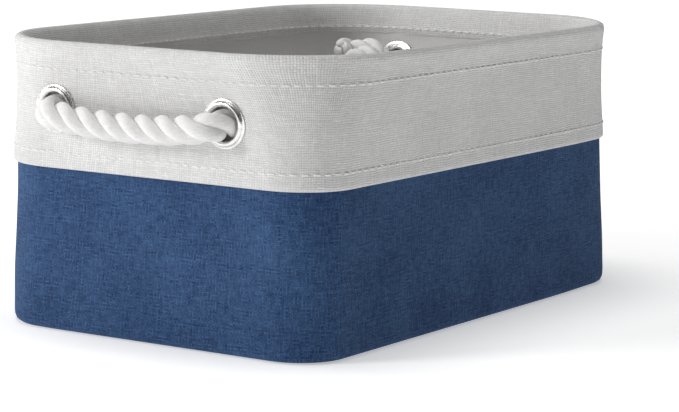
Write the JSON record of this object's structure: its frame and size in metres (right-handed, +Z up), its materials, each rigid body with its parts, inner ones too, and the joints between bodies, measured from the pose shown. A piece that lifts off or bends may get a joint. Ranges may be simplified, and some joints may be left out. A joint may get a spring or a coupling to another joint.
{
  "type": "fabric storage bin",
  "caption": "Rectangular fabric storage bin with rounded corners, a folded canvas cuff over a wire rim, a darker lower wall and a twisted rope handle knotted through eyelets at each end.",
  "frame": {"origin": "middle of the base, on the surface that the bin stands on", "axes": "+X along the long side towards one rope handle, +Y along the short side, +Z up"},
  "size_m": [0.3238, 0.198, 0.132],
  "materials": {
    "blue_fabric": "matt linen weave",
    "canvas": "matt slub canvas",
    "lining_fabric": "matt plain weave",
    "stiffener": "matt felted sheet",
    "base_board": "matt fibre board",
    "wire": "drawn wire",
    "crimp": "pressed",
    "eyelet_metal": "polished nickel",
    "rope": "soft twisted cotton",
    "thread": "sewing thread"
  },
  "bodies": {
    "bin": {"outer_wall": "blue_fabric", "outer_base": "blue_fabric", "wall_stiffener": "stiffener", "lining_wall": "lining_fabric", "lining_floor": "lining_fabric", "base_board": "base_board", "canvas_cuff": "canvas", "rim_wire": "wire", "wire_crimp": "crimp", "cuff_top_stitch": "thread", "cuff_hem_stitch": "thread", "cuff_inside_stitch": "thread", "eyelet_left_front": "eyelet_metal", "washer_left_front": "eyelet_metal", "eyelet_left_back": "eyelet_metal", "washer_left_back": "eyelet_metal", "eyelet_right_front": "eyelet_metal", "washer_right_front": "eyelet_metal", "eyelet_right_back": "eyelet_metal", "washer_right_back": "eyelet_metal"},
    "left_pull": {"rope_left_front_tail": "rope", "rope_left_front_knot": "rope", "rope_left_back_tail": "rope", "rope_left_back_knot": "rope"},
    "left_swing": {"rope_left_loop": "rope"},
    "right_pull": {"rope_right_front_tail": "rope", "rope_right_front_knot": "rope", "rope_right_back_tail": "rope", "rope_right_back_knot": "rope"},
    "right_swing": {"rope_right_loop": "rope"}
  },
  "joints": [
    {"name": "left_handle_pull", "type": "slide", "parent": "bin", "child": "left_pull", "axis": [-1, 0, 0], "range_m": [0, 0.014]},
    {"name": "left_handle_swing", "type": "hinge", "parent": "left_pull", "child": "left_swing", "pos_m": [-0.1487, 0, 0.1015], "axis": [0, 1, 0], "range_deg": [0, 30]},
    {"name": "right_handle_pull", "type": "slide", "parent": "bin", "child": "right_pull", "axis": [1, 0, 0], "range_m": [0, 0.014]},
    {"name": "right_handle_swing", "type": "hinge", "parent": "right_pull", "child": "right_swing", "pos_m": [0.1487, 0, 0.1015], "axis": [0, -1, 0], "range_deg": [0, 30]}
  ]
}
